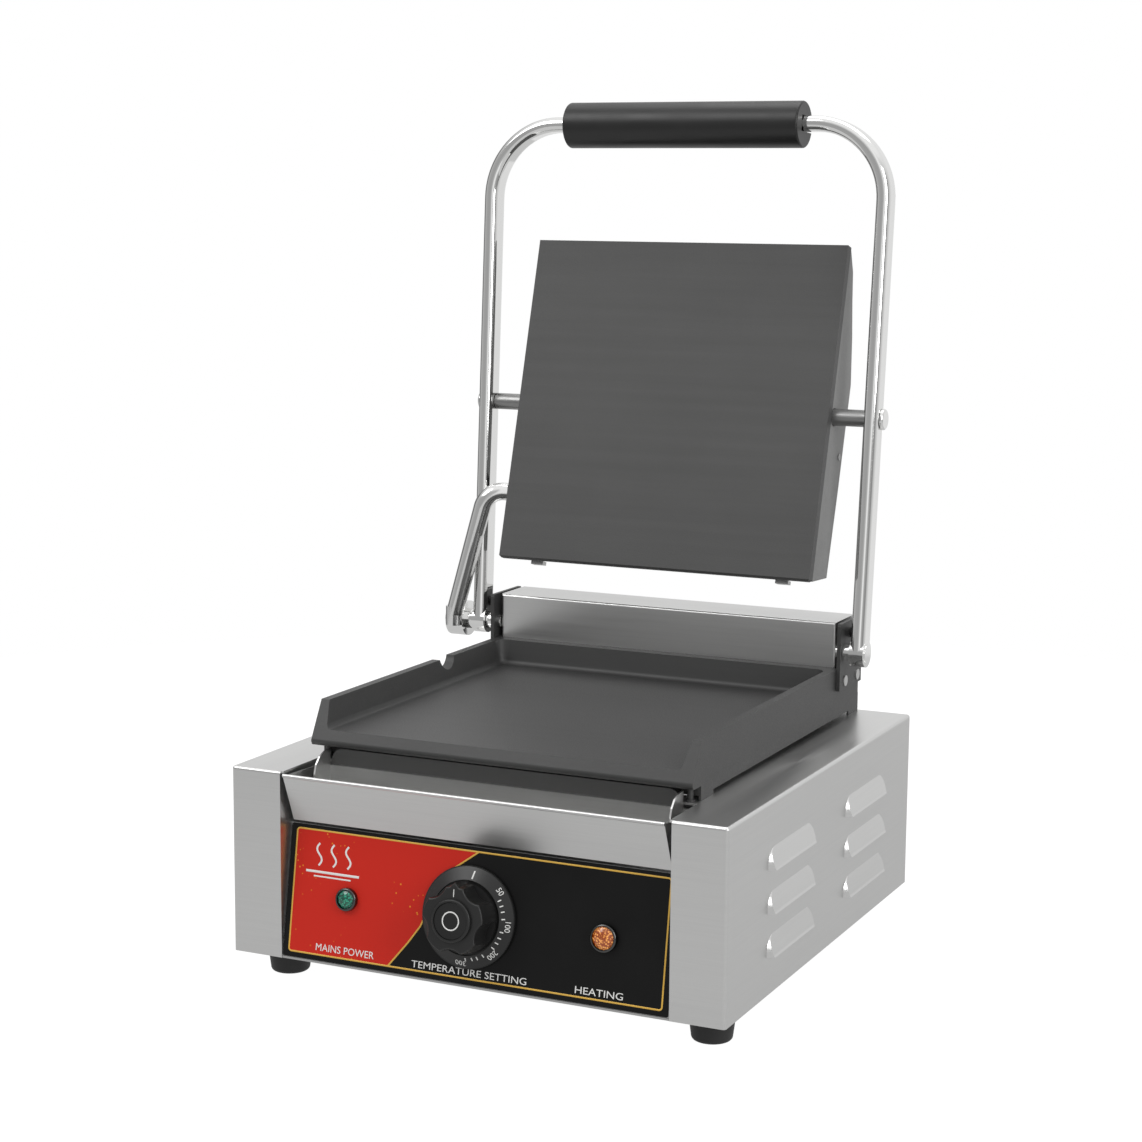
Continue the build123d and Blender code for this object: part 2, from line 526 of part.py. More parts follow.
def cover_depth(along):
    """Depth of the cover's back at a distance from the plate's lower edge."""
    for (a0, d0), (a1, d1) in zip(COVER_PROFILE[1:], COVER_PROFILE[2:]):
        if a0 <= along <= a1:
            return d0 + (d1 - d0) * (along - a0) / (a1 - a0)
    raise ValueError("outside the cover")


def make_plate():
    half = PLATE_W / 2
    low, high = PLATE_LOW, PLATE_LOW + PLATE_L
    plate = FACE * slab(-half, half, low, high, -RIM, 0)
    plate = chamfer(plate.faces().sort_by(Axis.Y)[0].edges(), 1.2)
    for side in (-1, 1):
        x0, x1 = sorted((side * (half - 22), side * (half - 3)))
        plate += FACE * slab(x0, x1, -10, 10, -RIM - 12, -RIM + 1)
        plate -= rod(side * (half - 16), side * (half + 1), PIN_Y, PIN_Z, 5.02)

    solid = cover_block(COVER_PROFILE, half)
    solid = fillet(solid.edges().filter_by(Axis.X).group_by(Axis.Y)[-2:][0], 2.0)
    cover = solid - cover_block(COVER_INSIDE, half - COVER_SKIN)
    entry = low + ENTRY_ALONG
    cover -= FACE * slab(-half - 1, -half + 3, entry - 9, entry + 9, -ENTRY_DEEP - 7.5, -RIM - 0.1)
    side_screw = FACE.from_local_coords((0, low + 78.6, -27.0))
    side_screws = []
    for side in (-1, 1):
        cover -= rod(side * (half - 4), side * (half + 1), PIN_Y, PIN_Z, 5.4)
        cover -= rod(side * (half - 3), side * (half + 1), side_screw.Y, side_screw.Z, 1.6)
        head = rod(side * (half + 0.02), side * (half + 0.5), side_screw.Y, side_screw.Z, 2.0)
        side_screws.append(head + rod(side * (half - 6), side * (half + 0.1), side_screw.Y, side_screw.Z, 1.5))

    # Screws through the cover's back into the casting.
    screws = []
    for x in CLAMP_X:
        for y in CLAMP_UP:
            cover -= stud(FACE, x, y, -40, -20, 2.2)
            rear = -cover_depth(y - low)
            screw = stud(FACE, x, y, rear - 0.2, -RIM + 2, 1.9) + stud(FACE, x, y, rear - 2.1, rear - 0.2, 3.8)
            plate -= screw
            screws.append(screw)
    keep("upper_plate", plate)
    keep("upper_cover", cover)
    keep("upper_cover_screws", *screws)
    keep("cover_side_screws", *side_screws)

    # Pivot pins from the casting's bosses through the arms, each with a low cap outside its arm.
    pins, caps = [], []
    for side in (-1, 1):
        reach = ARM_HALF + ARM_SPLAY * PIN_ALONG / ARM_LONG
        inner_face, outer_face = reach - BAR_THIN / 2, reach + BAR_THIN / 2
        pin = rod(side * (half - 15.9), side * (inner_face - 0.3), PIN_Y, PIN_Z, 5.0)
        pins.append(pin + rod(side * (inner_face - 0.4), side * (outer_face + 1.1), PIN_Y, PIN_Z, STUD_R))
        cap = rod(side * (outer_face + 0.3), side * (outer_face + 0.3 + CAP_THICK), PIN_Y, PIN_Z, 6.2)
        rim = cap.edges().filter_by(GeomType.CIRCLE).sort_by(Axis.X)[-1 if side > 0 else 0]
        cap = fillet(rim, 1.3)
        caps.append(cap - rod(side * (outer_face - 1), side * (outer_face + 1.1), PIN_Y, PIN_Z, STUD_R))
    keep("pivot_pins", *pins)
    keep("pivot_cap_nuts", *caps)

    # Tubular element on the casting's back under its clamp plate.
    depth = -RIM - 3.3
    points = []
    near, far = low + 26, high - 40
    for index, x in enumerate((-70.0, -35.0, 0.0, 35.0, 70.0)):
        ends = (near, far) if index % 2 == 0 else (far, near)
        points += [(x, ends[0], depth), (x, ends[1], depth)]
    keep("upper_element", FACE * tube(points, 3.2, 15.0))
    clamp = FACE * slab(-76, 76, low + 66, low + 106, depth - 5.2, depth - 3.25)
    clamp -= FACE * slab(-28, 28, low + 76, low + 96, depth - 8, depth)
    keep("upper_element_clamp", clamp)

    clips = [FACE * slab(x - 4, x + 4, low - 1.6, low + 0.55, -14, -9) for x in (-79.0, 81.0)]
    keep("cover_clips", *clips)


# ---------------------------------------------------------------- conduit to the upper plate
TUBE_R = 5.5
TUBE_BEND = 18.0
TUBE_FOOT = (-139.6, FRONT + 247.2, HINGE_Z + 4)
TUBE_KNEE = (-116.3, FRONT + 247.2, HINGE_Z + 82)


def make_conduit():
    end = FACE.from_local_coords((-PLATE_W / 2 + 5, PLATE_LOW + ENTRY_ALONG, -ENTRY_DEEP))
    conduit = tube((TUBE_FOOT, TUBE_KNEE, (end.X, end.Y, end.Z)), TUBE_R, TUBE_BEND)
    drum = rod(-SWIVEL_OUT, -SWIVEL_IN, HINGE_Y, HINGE_Z, 11.0)
    drum += rod(-SWIVEL_IN - 1, -ARM_FACE, HINGE_Y, HINGE_Z, 6.4)
    drum += Pos(TUBE_FOOT[0], TUBE_FOOT[1], HINGE_Z + 3) * Cylinder(5.5, 12)
    drum -= rod(-150, -100, HINGE_Y, HINGE_Z, BOLT_R)
    keep("conduit_swivel", drum - conduit)
    entry = PLATE_LOW + ENTRY_ALONG
    grommet = FACE * slab(-PLATE_W / 2 - 1.6, -PLATE_W / 2 + 2.6, entry - 9.5, entry + 9.5, -ENTRY_DEEP - 8, -RIM)
    keep("conduit_tube", conduit)
    keep("conduit_grommet", grommet - conduit - made["upper_cover"])


def main():
    make_body()
    make_controls()
    make_tray()
    make_griddle()
    make_hinge()
    make_handle()
    make_plate()
    make_conduit()
    os.makedirs("parts", exist_ok=True)
    for name, node in made.items():
        export_step(node, "parts/" + name + ".step")
        print(name, len(node.solids()), round(node.volume))


main()
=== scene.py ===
# %% [markdown]
# # A contact grill, finished in Blender
# The pressed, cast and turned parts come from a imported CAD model, which is loaded first and never moved.
# Everything after that is finish: materials, printed graphics, and the few pieces that are better
# modelled as meshes. All lengths are in metres, in the CAD model's own frame: +Z up, front to -Y.
import bpy
import json
from math import atan2, cos, degrees, pi, radians, sin, tan
from mathutils import Matrix, Vector


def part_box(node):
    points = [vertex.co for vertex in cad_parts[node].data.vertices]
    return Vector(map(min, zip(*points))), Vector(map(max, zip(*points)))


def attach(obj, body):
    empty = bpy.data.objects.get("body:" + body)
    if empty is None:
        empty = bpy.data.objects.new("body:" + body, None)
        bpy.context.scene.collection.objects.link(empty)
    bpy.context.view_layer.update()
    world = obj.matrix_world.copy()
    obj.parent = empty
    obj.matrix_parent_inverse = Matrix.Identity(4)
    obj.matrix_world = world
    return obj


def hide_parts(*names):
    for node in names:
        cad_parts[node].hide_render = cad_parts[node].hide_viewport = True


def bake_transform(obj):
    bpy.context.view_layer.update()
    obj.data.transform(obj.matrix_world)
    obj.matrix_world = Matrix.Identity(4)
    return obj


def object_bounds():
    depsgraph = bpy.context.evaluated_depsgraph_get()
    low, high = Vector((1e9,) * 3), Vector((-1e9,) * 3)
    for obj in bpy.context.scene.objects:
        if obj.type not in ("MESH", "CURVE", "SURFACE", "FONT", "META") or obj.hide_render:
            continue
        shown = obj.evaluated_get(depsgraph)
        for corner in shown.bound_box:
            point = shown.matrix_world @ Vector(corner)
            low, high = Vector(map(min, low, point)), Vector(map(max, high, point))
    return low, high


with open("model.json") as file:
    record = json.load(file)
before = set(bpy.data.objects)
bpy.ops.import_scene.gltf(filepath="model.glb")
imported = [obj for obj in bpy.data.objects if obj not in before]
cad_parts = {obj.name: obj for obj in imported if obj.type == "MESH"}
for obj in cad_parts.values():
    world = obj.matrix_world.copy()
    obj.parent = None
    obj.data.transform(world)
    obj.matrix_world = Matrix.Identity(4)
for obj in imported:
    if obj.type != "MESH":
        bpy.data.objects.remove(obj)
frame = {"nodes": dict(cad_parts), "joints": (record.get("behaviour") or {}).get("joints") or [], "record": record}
cad_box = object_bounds()
nodes = frame["nodes"]
joints = {joint["name"]: joint for joint in frame["joints"]}
print("loaded", len(nodes), "CAD nodes; box", [round(v, 4) for corner in cad_box for v in corner])

# %% Small helpers for modelling
MM = 0.001


def only(piece):
    """Select one object and make it the active one."""
    bpy.ops.object.select_all(action="DESELECT")
    piece.select_set(True)
    bpy.context.view_layer.objects.active = piece
    return piece


def added(name):
    """Name the primitive that has just been added."""
    piece = bpy.context.object
    piece.name = name
    piece.data.name = name
    return piece


def apply_all(piece):
    """Apply the modifiers, then the place, so the object sits at the origin."""
    only(piece)
    for modifier in list(piece.modifiers):
        bpy.ops.object.modifier_apply(modifier=modifier.name)
    bpy.ops.object.transform_apply(location=True, rotation=True, scale=True)
    return piece


def place(piece, matrix):
    """Put a piece that was made about the origin at its place, and apply that place to its mesh."""
    piece.matrix_world = matrix @ piece.matrix_world
    return apply_all(piece)


def smooth(piece, angle=35):
    only(piece)
    bpy.ops.object.shade_smooth_by_angle(angle=radians(angle))
    return piece


def joined(pieces, name):
    """Join several meshes into one piece."""
    bpy.ops.object.select_all(action="DESELECT")
    for piece in pieces:
        piece.select_set(True)
    bpy.context.view_layer.objects.active = pieces[0]
    if len(pieces) > 1:
        bpy.ops.object.join()
    return added(name)


def finish_piece(piece, body, slot, material, *replaced):
    """Give a piece its material, tie it to a CAD body and hide the CAD nodes it stands for; slot is not used."""
    piece.data.materials.clear()
    piece.data.materials.append(material)
    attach(piece, body)
    if replaced:
        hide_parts(*replaced)
    print("made", piece.name, "on", body, "with", len(piece.data.polygons), "faces")
    return piece


# %% [markdown]
# ## The panel's own plane
# The control panel leans back, so its graphics, lamps and knob are all made flat about the origin and
# then moved with one matrix. The knob's joint already holds that plane: its axis is the panel's normal
# and its place is the middle of the dial.

# %% The plane of the control panel
turn = joints["knob_turn"]
out = Vector(turn["axis"]).normalized()
right = Vector((1, 0, 0))
up = out.cross(right)
DIAL = Matrix.Translation(Vector(turn["pos_m"])) @ Matrix((right, up, out)).transposed().to_4x4()
FILM = 0.4 * MM                    # thickness of the printed film on the panel
print("panel leans back", round(degrees(atan2(out.z, -out.y)), 2), "degrees")

# %% [markdown]
# ## Node groups for the finishes
# A node group is a little machine that several materials share. *Brushed* gives long thin streaks, as an
# abrasive belt leaves on sheet steel. It looks at the surface's own direction, so that the streaks lie
# along a sheet on its walls and on its top. *Grain* gives the fine tooth of a sprayed non-stick coat or of
# moulded plastic. *Cloud* is a slow drift of tone, which stops a surface from looking computed.

# %% Build the shared node groups


def group(name, inputs, outputs):
    """An empty node group with float or vector inputs and float outputs."""
    tree = bpy.data.node_groups.new(name, "ShaderNodeTree")
    for label, kind, value in inputs:
        socket = tree.interface.new_socket(label, in_out="INPUT", socket_type=kind)
        socket.default_value = value
    for label in outputs:
        tree.interface.new_socket(label, in_out="OUTPUT", socket_type="NodeSocketFloat")
    return tree, tree.nodes.new("NodeGroupInput"), tree.nodes.new("NodeGroupOutput")


def noise_at(tree, coordinates, scale, detail=3.0, rough=0.55):
    """A noise texture that reads the given coordinates."""
    node = tree.nodes.new("ShaderNodeTexNoise")
    node.inputs["Detail"].default_value = detail
    node.inputs["Roughness"].default_value = rough
    node.inputs["Scale"].default_value = scale
    tree.links.new(coordinates, node.inputs["Vector"])
    return node


def object_place(tree):
    """Where a point is on the object, in metres."""
    return tree.nodes.new("ShaderNodeTexCoord").outputs["Object"]


def stretched(tree, vector, scale):
    """Object coordinates multiplied by a vector: a large number makes that direction fine."""
    node = tree.nodes.new("ShaderNodeVectorMath")
    node.operation = "MULTIPLY"
    node.inputs[1].default_value = scale
    tree.links.new(vector, node.inputs[0])
    return node.outputs["Vector"]


def maths(tree, operation, *values):
    """One Math node; each value is a number or another node's output."""
    node = tree.nodes.new("ShaderNodeMath")
    node.operation = operation
    for index, value in enumerate(values):
        if hasattr(value, "is_linked"):
            tree.links.new(value, node.inputs[index])
        else:
            node.inputs[index].default_value = value
    return node.outputs["Value"]


def ranged(tree, value, low, high, to_low=0.0, to_high=1.0):
    """A value mapped from one range to another, and held at its ends."""
    node = tree.nodes.new("ShaderNodeMapRange")
    for label, number in (("From Min", low), ("From Max", high), ("To Min", to_low), ("To Max", to_high)):
        if hasattr(number, "is_linked"):
            tree.links.new(number, node.inputs[label])
        else:
            node.inputs[label].default_value = number
    tree.links.new(value, node.inputs["Value"])
    return node.outputs["Result"]


brushed, given, result = group("Brushed", [], ["Streak", "Fine"])
where = object_place(brushed)
facing = brushed.nodes.new("ShaderNodeSeparateXYZ")
brushed.links.new(brushed.nodes.new("ShaderNodeNewGeometry").outputs["Normal"], facing.inputs[0])
level = ranged(brushed, maths(brushed, "ABSOLUTE", facing.outputs["Z"]), 0.6, 0.8)
for label, along_sheet, across_sheet in (("Streak", 7, 420), ("Fine", 22, 1500)):
    wall = stretched(brushed, where, (along_sheet, along_sheet, across_sheet))
    top = stretched(brushed, where, (across_sheet, along_sheet, along_sheet))
    on_wall = noise_at(brushed, wall, 1.0, 2.0).outputs["Fac"]
    on_top = noise_at(brushed, top, 1.0, 2.0).outputs["Fac"]
    mix = brushed.nodes.new("ShaderNodeMix")
    brushed.links.new(level, mix.inputs["Factor"])
    brushed.links.new(on_wall, mix.inputs["A"])
    brushed.links.new(on_top, mix.inputs["B"])
    brushed.links.new(mix.outputs["Result"], result.inputs[label])

grain, given, result = group("Grain", [("Scale", "NodeSocketFloat", 1500.0)], ["Height", "Speck"])
where = object_place(grain)
tooth = noise_at(grain, where, 1500.0, 2.0)
grain.links.new(given.outputs["Scale"], tooth.inputs["Scale"])
grain.links.new(tooth.outputs["Fac"], result.inputs["Height"])
dots = grain.nodes.new("ShaderNodeTexVoronoi")
grain.links.new(where, dots.inputs["Vector"])
grain.links.new(given.outputs["Scale"], dots.inputs["Scale"])
grain.links.new(ranged(grain, dots.outputs["Distance"], 0.05, 0.22, 1.0, 0.0), result.inputs["Speck"])

cloud, given, result = group("Cloud", [("Scale", "NodeSocketFloat", 12.0)], ["Tone"])
where = object_place(cloud)
drift = noise_at(cloud, where, 12.0, 3.0)
cloud.links.new(given.outputs["Scale"], drift.inputs["Scale"])
cloud.links.new(drift.outputs["Fac"], result.inputs["Tone"])
print("groups:", [tree.name for tree in (brushed, grain, cloud)])

# %% [markdown]
# ## Metals
# Stainless sheet is a grey mirror seen through fine scratches: fully metallic, with its roughness moved by
# the streaks, and with anisotropy, which smears a highlight across the brushing. Chrome is nearly
# white and very smooth. Values that are the same all over are set on the shader itself.

# %% Materials: metals


def material(name, colour, roughness, metallic=0.0):
    """A new material with a plain Principled BSDF. Returns the material, its tree and the shader."""
    new = bpy.data.materials.new(name)
    new.use_nodes = True
    shader = new.node_tree.nodes["Principled BSDF"]
    shader.inputs["Base Color"].default_value = (*colour, 1)
    shader.inputs["Roughness"].default_value = roughness
    shader.inputs["Metallic"].default_value = metallic
    return new, new.node_tree, shader


def use(tree, shared, **inputs):
    node = tree.nodes.new("ShaderNodeGroup")
    node.node_tree = shared
    for label, value in inputs.items():
        node.inputs[label].default_value = value
    return node


def two_tone(tree, shader, factor, dark, light, socket="Base Color"):
    """Mix two colours by a factor into one of the shader's colour sockets."""
    mix = tree.nodes.new("ShaderNodeMix")
    mix.data_type = "RGBA"
    mix.inputs["A"].default_value = (*dark, 1)
    mix.inputs["B"].default_value = (*light, 1)
    tree.links.new(factor, mix.inputs["Factor"])
    tree.links.new(mix.outputs["Result"], shader.inputs[socket])
    return mix


def bump(tree, shader, height, distance, strength=1.0):
    node = tree.nodes.new("ShaderNodeBump")
    node.inputs["Distance"].default_value = distance
    node.inputs["Strength"].default_value = strength
    tree.links.new(height, node.inputs["Height"])
    tree.links.new(node.outputs["Normal"], shader.inputs["Normal"])


def grey(value):
    return (value, value, value * 0.99)


def brushed_steel(name, tone, low, high, anisotropy=0.35, relief=0.004):
    """Sheet steel: tone is its colour, low and high its roughness between and along the streaks."""
    new, tree, shader = material(name, grey(tone), low, 1.0)
    shader.inputs["Anisotropic"].default_value = anisotropy
    streaks = use(tree, brushed)
    slow = use(tree, cloud, Scale=6.0)
    half_streak = maths(tree, "MULTIPLY", streaks.outputs["Streak"], 0.5)
    both = maths(tree, "MULTIPLY_ADD", streaks.outputs["Fine"], 0.5, half_streak)
    spread = ranged(tree, both, 0.3, 0.7)
    tree.links.new(ranged(tree, spread, 0.0, 1.0, low, high), shader.inputs["Roughness"])
    shade = maths(tree, "MULTIPLY_ADD", slow.outputs["Tone"], 0.35, maths(tree, "MULTIPLY", spread, 0.65))
    two_tone(tree, shader, shade, grey(tone * 0.95), grey(min(tone * 1.04, 0.95)))
    bump(tree, shader, streaks.outputs["Fine"], relief * MM, 0.6)
    return new


def drifting(tree, shader, scale, low, high):
    """Let the roughness drift slowly between two values."""
    slow = use(tree, cloud, Scale=scale)
    tree.links.new(ranged(tree, slow.outputs["Tone"], 0.3, 0.7, low, high), shader.inputs["Roughness"])
    return slow


def polished(name, tone, roughness):
    """Smooth metal with a roughness that drifts a little."""
    new, tree, shader = material(name, grey(tone), roughness, 1.0)
    drifting(tree, shader, 40.0, roughness * 0.7, roughness * 1.5)
    return new


STAINLESS = brushed_steel("Brushed stainless", 0.68, 0.29, 0.35)
SHEET = brushed_steel("Plain stainless sheet", 0.50, 0.34, 0.42, 0.2)
CHROME = polished("Chrome", 0.83, 0.07)
ZINC = polished("Zinc plate", 0.55, 0.30)
TURNED = polished("Turned steel", 0.30, 0.34)
# A dark grey brushed sheet whose darkness is painted shade, for sheet parts that sit in dark gaps.
DARK_SHEET = brushed_steel("Sheet darkened as painted shade", 0.16, 0.42, 0.50, 0.1)
SHEATH = polished("Element sheath", 0.26, 0.42)
COPPER = material("Drawn copper", (0.72, 0.36, 0.20), 0.3, 1.0)[0]
metals = (STAINLESS, SHEET, CHROME, ZINC, TURNED, DARK_SHEET, SHEATH, COPPER)
print("metals:", [metal.name for metal in metals])

# %% [markdown]
# ## Cast iron, paint, plastic and rubber
# Both castings wear a matte non-stick coat. Its colour is nearly flat, so the life of it is in the fine
# tooth that catches light and in the faint marks of machining across the cooking faces. The cover behind
# the upper casting wears a lighter grey paint, and the printed film is a flat, nearly dead black.

# %% Materials: castings


def coated_iron(name, tone, roughness, machined=0.0):
    """Matte coat on iron; machined adds faint lines across X."""
    new, tree, shader = material(name, grey(tone), roughness)
    tooth = use(tree, grain, Scale=1400.0)
    slow = use(tree, cloud, Scale=14.0)
    lines = noise_at(tree, stretched(tree, object_place(tree), (5, 160, 160)), 1.0, 2.0)
    half_lines = maths(tree, "MULTIPLY", lines.outputs["Fac"], 0.5)
    shade = maths(tree, "MULTIPLY_ADD", slow.outputs["Tone"], 0.5, half_lines)
    dark, light = grey(tone * (0.93 - machined)), grey(tone * (1.07 + machined))
    two_tone(tree, shader, ranged(tree, shade, 0.3, 0.7), dark, light)
    rough = ranged(tree, tooth.outputs["Height"], 0.3, 0.7, roughness - 0.05, roughness + 0.07)
    tree.links.new(rough, shader.inputs["Roughness"])
    bump(tree, shader, tooth.outputs["Height"], 0.06 * MM, 0.7)
    return new


GRIDDLE = coated_iron("Griddle coat", 0.040, 0.46, 0.03)
PLATE = coated_iron("Upper plate coat", 0.066, 0.55, 0.03)
COVER = coated_iron("Upper cover paint", 0.20, 0.5)


def moulded(name, tone, roughness, scale=900.0, relief=0.02, sheen=0.0, shine=0.5):
    """Black or dark moulding with a fine tooth."""
    new, tree, shader = material(name, grey(tone), roughness)
    tooth = use(tree, grain, Scale=scale)
    slow = drifting(tree, shader, 30.0, roughness * 0.85, roughness * 1.2)
    two_tone(tree, shader, slow.outputs["Tone"], grey(tone * 0.85), grey(tone * 1.2))
    bump(tree, shader, tooth.outputs["Height"], relief * MM, 0.5)
    shader.inputs["Sheen Weight"].default_value = sheen
    shader.inputs["Specular IOR Level"].default_value = shine
    return new


BLACK = moulded("Black moulding", 0.010, 0.36)
KNOB = moulded("Knob moulding", 0.009, 0.38, 700.0, 0.02, shine=0.4)
RUBBER = moulded("Foot rubber", 0.013, 0.62, 600.0, 0.05, sheen=0.1)
PRINT_BLACK = moulded("Printed film, black", 0.004, 0.45, 1200.0, 0.008, shine=0.2)
print("castings and mouldings ready")

# %% [markdown]
# ## Inks and lamps
# The panel's film is screen printed: a red field, thin gold rules and white words. The red ink carries a
# sparse scatter of tiny yellow dots, which thins out to the right on the real panel; here it is made from a
# Voronoi texture and a slow noise mask, which leaves it in patches. The lamps are clear coloured caps over a
# reflector.

# %% Materials: inks and lamps
RED_INK, DOT_INK = (0.56, 0.018, 0.008), (0.76, 0.24, 0.02)
RED, tree, shader = material("Printed red", RED_INK, 0.45)
shader.inputs["Specular IOR Level"].default_value = 0.25
where = object_place(tree)
cells = tree.nodes.new("ShaderNodeTexVoronoi")
cells.inputs["Scale"].default_value = 330.0
tree.links.new(where, cells.inputs["Vector"])
patch = noise_at(tree, where, 28.0, 1.0).outputs["Fac"]
spots = ranged(tree, cells.outputs["Distance"], 0.12, 0.2, 1.0, 0.0)
dots = maths(tree, "MULTIPLY", spots, ranged(tree, patch, 0.5, 0.56))
two_tone(tree, shader, dots, RED_INK, DOT_INK)


def ink(name, colour, roughness=0.4, metallic=0.0):
    """Printed ink: one colour, a little thinner here and there."""
    new, tree, shader = material(name, colour, roughness, metallic)
    slow = use(tree, cloud, Scale=120.0)
    dark = tuple(0.86 * c for c in colour)
    two_tone(tree, shader, slow.outputs["Tone"], dark, colour)
    return new


GOLD = ink("Printed gold", (0.75, 0.45, 0.07), 0.35, 0.15)
WHITE = ink("Printed white", (0.80, 0.80, 0.78), 0.45)


def lamp_cap(name, deep, bright, glow):
    """Coloured clear plastic: bright in its cells and deep between them."""
    new, tree, shader = material(name, deep, 0.12)
    cells = tree.nodes.new("ShaderNodeTexVoronoi")
    cells.inputs["Scale"].default_value = 900.0
    tree.links.new(object_place(tree), cells.inputs["Vector"])
    lit = ranged(tree, cells.outputs["Distance"], 0.1, 0.6, 1.0, 0.0)
    two_tone(tree, shader, lit, deep, bright)
    two_tone(tree, shader, lit, deep, bright, "Emission Color")
    shader.inputs["Emission Strength"].default_value = glow
    shader.inputs["Coat Weight"].default_value = 0.6
    return new


GREEN = lamp_cap("Green lamp cap", (0.0, 0.05, 0.03), (0.02, 0.36, 0.22), 0.15)
AMBER = lamp_cap("Amber lamp cap", (0.22, 0.035, 0.002), (0.95, 0.42, 0.10), 0.35)
BEZEL = polished("Dark chrome", 0.10, 0.12)
print("inks:", RED.name, GOLD.name, WHITE.name)

# %% Put the materials on the CAD nodes
# The dark_sheet slot gets the darkened sheet, whose dark tone is painted shade.
FINISH = {
    "brushed_stainless": STAINLESS, "plain_stainless": SHEET, "chrome": CHROME, "zinc_steel": ZINC,
    "turned_steel": TURNED, "dark_sheet": DARK_SHEET,
    "griddle_iron": GRIDDLE, "plate_iron": PLATE, "plate_cover_paint": COVER, "black_plastic": BLACK,
    "rubber_foot": RUBBER, "panel_print": PRINT_BLACK, "knob_cap": KNOB, "lamp_bezel": BEZEL,
    "green_lens": GREEN, "amber_lens": AMBER, "element_sheath": SHEATH, "copper": COPPER,
}
slot_of = {row["node"]: row["material_slot"] for row in frame["record"]["subparts"]}
for name, node in nodes.items():
    node.data.materials.clear()
    node.data.materials.append(FINISH[slot_of[name]])
print("finished", len(nodes), "nodes in", len(set(slot_of.values())), "slots")

# %% [markdown]
# ## The printed panel
# Each printed shape is a thin flat piece on the film. The red field is one closed outline: three sides
# follow the gold border, and the fourth is the slanting edge, which bends a little as the real one does.
# The outline is a flat filled curve, turned into a mesh and then given the ink's thickness.

# %% The red field
INK = 0.06 * MM                    # thickness of an ink
LEFT, RIGHT, LOW, HIGH = -108.2, 112.2, -32.6, 34.4    # the gold border, in mm from the middle of the dial
EDGE = [(2.6, HIGH), (-10.5, 24.8), (-20.5, 12.0), (-28.7, -8.8), (-35.5, -18.6), (-42.6, -27.6), (-46.6, LOW)]


def lift(piece):
    """Give a flat print its thickness, outwards."""
    only(piece)
    bpy.ops.object.mode_set(mode="EDIT")
    bpy.ops.mesh.select_all(action="SELECT")
    bpy.ops.mesh.extrude_region_move(TRANSFORM_OT_translate={"value": (0, 0, INK)})
    bpy.ops.mesh.select_all(action="SELECT")
    bpy.ops.mesh.normals_make_consistent(inside=False)
    bpy.ops.object.mode_set(mode="OBJECT")
    return piece


def outline_print(name, points, closed=True, width=0.0):
    """A flat shape from an outline, or, with a width, a ruled line along it."""
    curve = bpy.data.curves.new(name, "CURVE")
    curve.dimensions = "2D" if closed and not width else "3D"
    curve.fill_mode = "BOTH" if closed and not width else "FULL"
    line = curve.splines.new("POLY")
    line.points.add(len(points) - 1)
    for point, (x, y) in zip(line.points, points):
        point.co = (x * MM, y * MM, 0, 1)
    line.use_cyclic_u = closed
    if width:
        curve.bevel_depth = width / 2 * MM
        curve.bevel_resolution = 2
    piece = bpy.data.objects.new(name, curve)
    bpy.context.scene.collection.objects.link(piece)
    only(piece)
    bpy.ops.object.convert(target="MESH")
    return added(name)


def rounded(x0, x1, y0, y1, r, steps=6):
    """The outline of a rounded rectangle."""
    points = []
    corners = ((x1 - r, y1 - r, 0), (x0 + r, y1 - r, 90), (x0 + r, y0 + r, 180), (x1 - r, y0 + r, 270))
    for cx, cy, start in corners:
        for step in range(steps + 1):
            angle = radians(start + 90 * step / steps)
            points.append((cx + r * cos(angle), cy + r * sin(angle)))
    return points


low_corner = [(LEFT, LOW + 1.5), (LEFT + 0.4, LOW + 0.4), (LEFT + 1.5, LOW)]
high_corner = [(LEFT + 1.5, HIGH), (LEFT + 0.4, HIGH - 0.4), (LEFT, HIGH - 1.5)]
field = low_corner + EDGE[::-1] + high_corner
red = outline_print("panel_red_field", field)
lift(red)
place(red, DIAL @ Matrix.Translation((0, 0, FILM)))
finish_piece(red, "base", "panel_print", RED)

# %% The gold rules
RULE = 0.9                         # width of a rule, in mm
border = outline_print("panel_gold_border", rounded(LEFT, RIGHT, LOW, HIGH, 1.6), True, RULE)
slant = outline_print("slant", EDGE, False, RULE)
rules = joined([border, slant], "panel_gold_rules")
rules.scale = (1, 1, 0.25)
apply_all(rules)
place(rules, DIAL @ Matrix.Translation((0, 0, FILM + INK)))
smooth(rules)
finish_piece(rules, "base", "panel_print", GOLD)

# %% [markdown]
# ## Words and numbers
# Lettering is generic. A text object is made flat, turned into a mesh while it is still at the origin, and
# given a hair's thickness, so that it prints over the field as ink does.


# %% Lettering
CAPITALS = 0.7                     # height of a capital, as a part of the letter size


def words(text, height, x, y, width=None):
    """White capitals of a given height, centred at a point of the panel; width stretches them to fit."""
    bpy.ops.object.text_add(location=(0, 0, 0))
    piece = bpy.context.object
    piece.data.body = text
    piece.data.align_x = "CENTER"
    piece.data.align_y = "CENTER"
    piece.data.size = height * MM / CAPITALS
    piece.data.extrude = INK / 2
    piece.data.resolution_u = 3
    only(piece)
    bpy.ops.object.convert(target="MESH")
    piece = bpy.context.object
    stretch = 1.0 if width is None else width * MM / max(piece.dimensions.x, 1e-6)
    spot = Matrix.Translation((x * MM, y * MM, 0))
    piece.matrix_world = spot @ Matrix.Diagonal((stretch, 1, 1, 1))
    return apply_all(piece)


labels = [
    words("MAINS POWER", 3.9, -73.6, -28.6, width=36),
    words("TEMPERATURE SETTING", 3.7, 1.8, -29.4, width=68),
    words("HEATING", 3.7, 77, -29.2, width=27),
]
lettering = joined(labels, "panel_lettering")
place(lettering, DIAL @ Matrix.Translation((0, 0, FILM + 1.6 * INK)))
finish_piece(lettering, "base", "panel_print", WHITE)

